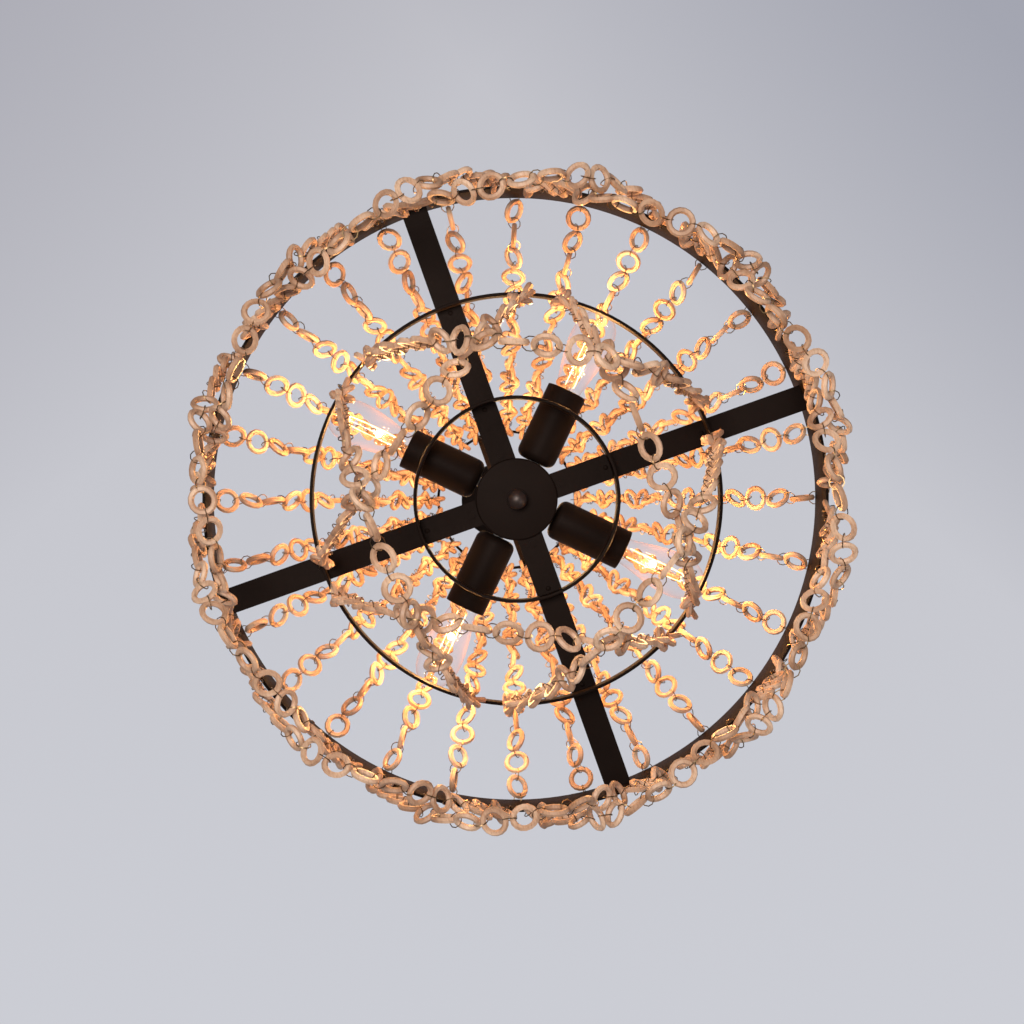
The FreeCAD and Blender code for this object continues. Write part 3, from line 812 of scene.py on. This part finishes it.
# %% Sections of the bulb
CAP_SEAT, SEAT_GAP, CAP_LENGTH, BULB_LENGTH = 0.061, 0.0001, 0.027, 0.116
CAP_END = CAP_SEAT + CAP_LENGTH
THREAD_START, THREAD_TURNS, THREAD_PITCH = 0.006, 7, 0.0028
THREAD_ROOT, THREAD_RISE = 0.0118, 0.0007
ENVELOPE = [(radius, CAP_END + BULB_LENGTH * part) for part, radius in (
    (0.0, 0.0), (0.0, 0.0122), (0.08, 0.0123), (0.2, 0.0125), (0.3, 0.0135), (0.4, 0.0158),
    (0.5, 0.0184), (0.6, 0.0205), (0.68, 0.0217), (0.75, 0.0219), (0.82, 0.0212), (0.885, 0.0192),
    (0.94, 0.0155), (0.978, 0.0105), (0.996, 0.005), (1.0, 0.0))]
STEM = [(radius, CAP_END + rise) for radius, rise in (
    (0.0, 0.0625), (0.0022, 0.0615), (0.0028, 0.059), (0.0021, 0.055), (0.0024, 0.030), (0.0055, 0.010),
    (0.0115, 0.001), (0.0, 0.001))]


def cap_section():
    contact, thread = CAP_SEAT + SEAT_GAP, CAP_SEAT + THREAD_START
    section = [(0.0, contact), (0.0045, contact), (0.0055, CAP_SEAT + 0.0015),
               (0.0105, CAP_SEAT + 0.0045)]
    for quarter in range(4 * THREAD_TURNS):
        wave = 0.5 + 0.5 * math.cos(FULL_TURN * quarter / 4)
        section.append((THREAD_ROOT + THREAD_RISE * wave, thread + THREAD_PITCH * quarter / 4))
    return section + [(0.0125, CAP_END - 0.0006), (0.0120, CAP_END), (0.0, CAP_END)]


print("bulb: %.0f mm long with its cap" % (1000 * (CAP_LENGTH + BULB_LENGTH)))

# %% [markdown]
# ## Filament and wires
#
# Long filaments run like the staves of a cage between two sets of wires. A rod is a small disc
# drawn from point to point: the disc is extruded, then turned and moved to the next point. Each
# rod is drawn in the plane through the bulb's axis at one angle.

# %% Thin rods
def rod(into, angle, spots, radius, sides):
    """Adds a rod through (radius, rise) spots in the plane at an angle round the bulb's axis."""
    points = [Vector((out * math.cos(angle), out * math.sin(angle), CAP_END + rise))
              for out, rise in spots]
    maker = bmesh.new()
    bmesh.ops.create_circle(maker, cap_ends=True, segments=sides, radius=radius)
    tip, known = maker.faces[:], Matrix()
    for i, point in enumerate(points):
        if i:
            grown = bmesh.ops.extrude_face_region(maker, geom=tip)["geom"]
            tip = [item for item in grown if isinstance(item, bmesh.types.BMFace)]
        ahead = points[min(i + 1, len(points) - 1)] - points[max(i - 1, 0)]
        stand = Matrix.Translation(point) @ ahead.to_track_quat("Z", "Y").to_matrix().to_4x4()
        bmesh.ops.transform(maker, matrix=stand @ known.inverted(),
                            verts=list({vert for face in tip for vert in face.verts}))
        known = stand
    bmesh.ops.recalc_face_normals(maker, faces=maker.faces)
    mesh = bpy.data.meshes.new("rod")
    maker.to_mesh(mesh)
    maker.free()
    into.from_mesh(mesh)
    bpy.data.meshes.remove(mesh)


def cage():
    """The supports and the glowing filaments of one bulb."""
    supports, filaments = bmesh.new(), bmesh.new()
    rod(supports, 0, ((0, 0.061), (0, 0.078), (0, 0.094)), 0.0005, 6)
    for stave in range(4):
        angle = FULL_TURN * (stave + 0.5) / 4
        rod(supports, angle, ((0.0012, 0.060), (0.0052, 0.050), (0.0062, 0.036)), 0.00022, 4)
        rod(supports, angle, ((0.0008, 0.093), (0.0036, 0.0955), (0.0056, 0.094)), 0.0002, 4)
        rod(filaments, angle, ((0.0062, 0.036), (0.0066, 0.058), (0.0066, 0.080), (0.0056, 0.094)),
            0.0003, 6)
    return supports, filaments


for made, rods in zip(("supports", "filaments"), cage()):
    print("one bulb's %s: %d faces" % (made, len(rods.faces)))
    rods.free()

# %% [markdown]
# ## Four lamps
#
# The four lamps are alike and stand at 45 degrees to the spokes. The cup belongs to the fixture,
# and all of the bulb rides on the lamp's own body, so that it leaves the cup when the bulb is
# unscrewed. Emission alone lights its surroundings noisily, so a small warm lamp inside each bulb
# lights the rings round it.

# %% Cups, bulbs and their light
GLARE_BEAD_RISE, GLARE_BEAD_RADIUS = 0.062, 0.0034
GLOW_RISE, GLOW_COLOUR, GLOW_WATTS, GLOW_SIZE = 0.066, (1.0, 0.50, 0.17), 3.0, 0.012


def warm_light(name, spot, energy, colour, size):
    light = bpy.data.objects.new(name, bpy.data.lights.new(name, "POINT"))
    light.data.energy, light.data.color, light.data.shadow_soft_size = energy, colour, size
    light.location = spot
    scene.collection.objects.link(light)


for number in range(1, 5):
    place, body, bulb = lying(90 * number - 45), "lamp_%d" % number, "bulb_%d" % number
    cup_node, cap_node = "lamp_cup_%d" % number, "bulb_cap_%d" % number
    piece(moved(cup(), place), cup_node + "_smooth", PAINT, "fixture", cup_node)
    piece(moved(turned(cap_section(), 32), place), cap_node + "_thread", CAP_BRASS, body, cap_node)
    piece(moved(turned(ENVELOPE, 40), place), bulb + "_envelope", GLASS, body, bulb)
    piece(moved(turned(STEM, 20), place), bulb + "_stem", STEM_GLASS, body)
    supports, filaments = cage()
    piece(moved(supports, place), bulb + "_supports", STEEL, body)
    piece(moved(filaments, place), bulb + "_filament", FILAMENT, body)
    # A small bead glowing near white at the filament's middle is painted glare for the bulb's bright
    # core.
    glare_bead = bmesh.new()
    bmesh.ops.create_icosphere(glare_bead, subdivisions=2, radius=GLARE_BEAD_RADIUS)
    bmesh.ops.translate(glare_bead, vec=(0, 0, CAP_END + GLARE_BEAD_RISE), verts=glare_bead.verts)
    piece(moved(glare_bead, place), bulb + "_glare_bead", GLARE_BEAD, body)
    warm_light(bulb + "_light", place @ Vector((0, 0, CAP_END + GLOW_RISE)), GLOW_WATTS, GLOW_COLOUR,
               GLOW_SIZE)

# %% [markdown]
# ## Hub
#
# Under the hub a thin round cover hides the screws, and a ball nut holds it up. Above, a shallow
# drum hides the wiring. All are turned, and only their outer rims are eased, because the bores
# are never seen. The ball is a sphere cut off at the top, with a short neck joined on.

# %% Cover, ball and drum
BORE, COVER_RADIUS, COVER_THICK, RIM_EASE = 0.0052, 0.040, 0.003, 0.0018
BALL_RADIUS, BALL_GAP, BALL_STEPS = 0.010, 0.003, 15
DRUM_RADIUS, DRUM_WALL = 0.038, 0.0015
cover_under = SPOKE_UNDER - COVER_THICK
cover = turned(((BORE, cover_under), (COVER_RADIUS, cover_under), (COVER_RADIUS, SPOKE_UNDER),
                (BORE, SPOKE_UNDER)), 96)
ease_rim(cover, COVER_RADIUS, cover_under, RIM_EASE, 3)
piece(cover, "hub_cover_smooth", PAINT, "fixture", "hub_cover")

ball_middle = cover_under - BALL_GAP - BALL_RADIUS
angles = [math.pi * i / BALL_STEPS for i in range(BALL_STEPS - 2)]
ball = [(BALL_RADIUS * math.sin(a), ball_middle - BALL_RADIUS * math.cos(a)) for a in angles]
neck = [(0.0062, cover_under - 0.0022), (0.0075, cover_under - 0.0018), (0.0075, cover_under),
        (0.0, cover_under)]
piece(turned(ball + neck, 48), "hub_ball_smooth", KNOB, "fixture", "hub_ball")

drum_foot, drum_top = WHEEL + 0.0035, WHEEL + 0.0435
drum = turned(((BORE, drum_top), (DRUM_RADIUS, drum_top), (DRUM_RADIUS, drum_foot),
               (DRUM_RADIUS - DRUM_WALL, drum_foot), (DRUM_RADIUS - DRUM_WALL, drum_top - DRUM_WALL),
               (BORE, drum_top - DRUM_WALL)), 96)
ease_rim(drum, DRUM_RADIUS, drum_top, RIM_EASE, 3)
piece(drum, "hub_drum_smooth", PAINT, "fixture", "hub_drum")

# %% [markdown]
# ## Small screws
#
# Beside the small and the middle hoop a flat domed head shows on each spoke. A head is a sphere
# pressed flat and cut in half. They are so small that sixteen sides are plenty.

# %% Screw heads beside two hoops
HEAD_RADIUS, HEAD_RISE, HEAD_INSET = 0.0024, 0.0012, 0.0075


def domed_head():
    maker = bmesh.new()
    bmesh.ops.create_uvsphere(maker, u_segments=16, v_segments=8, radius=HEAD_RADIUS)
    bmesh.ops.scale(maker, vec=(1, 1, HEAD_RISE / HEAD_RADIUS), verts=maker.verts)
    bmesh.ops.bisect_plane(maker, geom=maker.verts[:] + maker.edges[:] + maker.faces[:],
                           dist=SAME_SPOT / 10, plane_co=(0, 0, 0), plane_no=UP, clear_outer=True)
    bmesh.ops.holes_fill(maker, edges=[edge for edge in maker.edges if edge.is_boundary])
    bmesh.ops.recalc_face_normals(maker, faces=maker.faces)
    return maker


HEAD = pattern(domed_head(), "head_pattern")
for name, radius in (("small_hoop_screws", SMALL_RADIUS), ("middle_hoop_screws", MIDDLE_RADIUS)):
    places = [Matrix.Translation(polar(radius - HEAD_INSET, 90 * i, SPOKE_UNDER)) for i in range(4)]
    piece(copies(HEAD, places), name, PAINT, "fixture")

# %% [markdown]
# ## Ceiling end
#
# The canopy is a spun cup with a soft corner. Its collar screws up from below and slides down the
# stem with it. The threaded loop body and the stem's coupling are turned rings with eased rims,
# like the hoops, so `turned_band` makes them too.

# %% Canopy, collar, loop body and coupling
CANOPY_RADIUS, CANOPY_DEPTH, CANOPY_HOLE, CANOPY_WALL = 0.070, 0.025, 0.014, 0.0012
CANOPY_CORNER, COLLAR_HEIGHT, GRIP_EASE = 0.005, 0.005, 0.0007
canopy_floor = CANOPY_WALL - CANOPY_DEPTH
canopy = turned(((CANOPY_RADIUS, 0), (CANOPY_RADIUS, -CANOPY_DEPTH), (CANOPY_HOLE, -CANOPY_DEPTH),
                 (CANOPY_HOLE, canopy_floor), (CANOPY_RADIUS - 0.0052, canopy_floor),
                 (CANOPY_RADIUS - CANOPY_WALL, -0.020), (CANOPY_RADIUS - CANOPY_WALL, 0)), 96)
ease_rim(canopy, CANOPY_RADIUS, -CANOPY_DEPTH, CANOPY_CORNER, 4)
piece(canopy, "canopy_smooth", PAINT, "canopy_set", "canopy")

for name, bore, radius, foot, top, body in (
        ("canopy_collar", 0.01255, 0.018, -CANOPY_DEPTH - COLLAR_HEIGHT, -CANOPY_DEPTH, "canopy_set"),
        ("loop_body", 0.0051, 0.0125, -0.033, -0.016, "bracket"),
        ("stem_coupling", 0.00655, 0.009, -0.505, -0.475, "fixture")):
    piece(turned_band(bore, radius, foot, top, GRIP_EASE, 48), name + "_smooth", PAINT, body, name)

# %% [markdown]
# ## Floor
#
# The floor lies well below the camera, so it never stands between the camera and the light. It is
# pale and faintly clouded, and it takes the shadow and throws a little light up again.

# %% Pale floor
FLOOR_LEVEL, FLOOR_REACH = -4.6, 9
floor = bmesh.new()
bmesh.ops.create_grid(floor, x_segments=1, y_segments=1, size=FLOOR_REACH)
bmesh.ops.translate(floor, vec=(0, 0, FLOOR_LEVEL), verts=floor.verts)
floor_paint = Finish("floor_pale")
floor_paint.paint(floor_paint.grain(0.7, 2), (0.52, 0.52, 0.54), (0.56, 0.56, 0.58))
floor_paint.shader["Roughness"].default_value = 0.9
floor_mesh = pattern(floor, "floor")
floor_mesh.materials.append(floor_paint.material)
floor_object = bpy.data.objects.new("floor", floor_mesh)
scene.collection.objects.link(floor_object)

# %% [markdown]
# ## Pale ceiling
#
# Behind the light the photograph shows a pale grey ceiling, bluer and darker towards its upper
# corners. A real ceiling would block the views from above, so the world's colour plays its part:
# it changes slowly with the direction, and is darker round the horizon.

# %% The world's colour
world = bpy.data.worlds.new("pale_ceiling")
scene.world = world
world.use_nodes = True
direction = world.node_tree.nodes.new("ShaderNodeTexCoord").outputs["Generated"]


def toward(axis, low, high):
    """How far a direction leans to an axis, from 0 to 1 between two cosines."""
    dot = world.node_tree.nodes.new("ShaderNodeVectorMath")
    dot.operation = "DOT_PRODUCT"
    dot.inputs[1].default_value = axis
    world.node_tree.links.new(direction, dot.inputs[0])
    return ranged(world.node_tree, dot.outputs["Value"], low, high).outputs["Result"]


def between(factor, first, second):
    mixer = world.node_tree.nodes.new("ShaderNodeMix")
    mixer.data_type = "RGBA"
    world.node_tree.links.new(factor, mixer.inputs["Factor"])
    for socket, value in ((mixer.inputs[6], first), (mixer.inputs[7], second)):
        if isinstance(value, tuple):
            socket.default_value = (*value, 1)
        else:
            world.node_tree.links.new(value, socket)
    return mixer.outputs[2]


CEILING_LOW, CEILING_TOP = (0.60, 0.61, 0.66), (0.54, 0.54, 0.585)
CORNER_LEFT, CORNER_RIGHT, HORIZON = (0.42, 0.42, 0.47), (0.37, 0.38, 0.44), (0.22, 0.22, 0.245)
CORNER_COSINES = (0.28, 0.62)
low_to_top = between(toward(TOP, -0.33, 0.33), CEILING_LOW, CEILING_TOP)
left_corner = between(toward(TOP - RIGHT, *CORNER_COSINES), low_to_top, CORNER_LEFT)
both_corners = between(toward(TOP + RIGHT, *CORNER_COSINES), left_corner, CORNER_RIGHT)
all_round = between(toward(UP, 0.2, 0.8), HORIZON, both_corners)
world.node_tree.links.new(all_round, world.node_tree.nodes["Background"].inputs["Color"])
print("world:", len(world.node_tree.nodes), "nodes")

# %% [markdown]
# ## Light
#
# Two broad soft lamps stand under the wheel, where a photographer's would: the larger lights the
# undersides and the smaller fills from the other side. Three weak warm points inside the cage of
# strands stand for the light that real rings pass on among themselves, which a short render loses.

# %% Soft lamps and cage glow
def soft_lamp(name, spot, size, energy, colour):
    light = bpy.data.objects.new(name, bpy.data.lights.new(name, "AREA"))
    light.data.shape, light.data.size = "DISK", size
    light.data.energy, light.data.color = energy, colour
    light.location = spot
    light.rotation_euler = (UP * WHEEL - Vector(spot)).to_track_quat("-Z", "Y").to_euler()
    light.visible_camera = False
    scene.collection.objects.link(light)


soft_lamp("fill_under", (0.5, -0.3, -3.7), size=1.0, energy=62, colour=(1.0, 0.96, 0.92))
soft_lamp("fill_side", (-1.6, 1.4, -2.9), size=1.4, energy=14, colour=(0.95, 0.96, 1.0))
CAGE_GLOWS, CAGE_RADIUS, CAGE_FIRST, CAGE_RISE = 3, 0.07, 15, 0.30
for i in range(CAGE_GLOWS):
    spot = polar(CAGE_RADIUS, CAGE_FIRST + 360 / CAGE_GLOWS * i, WHEEL + CAGE_RISE)
    warm_light("cage_glow_%d" % (i + 1), spot, 0.75, (1.0, 0.55, 0.22), 0.03)
scene.view_settings.view_transform = "Standard"
print("lights:", len(bpy.data.lights))

# %% [markdown]
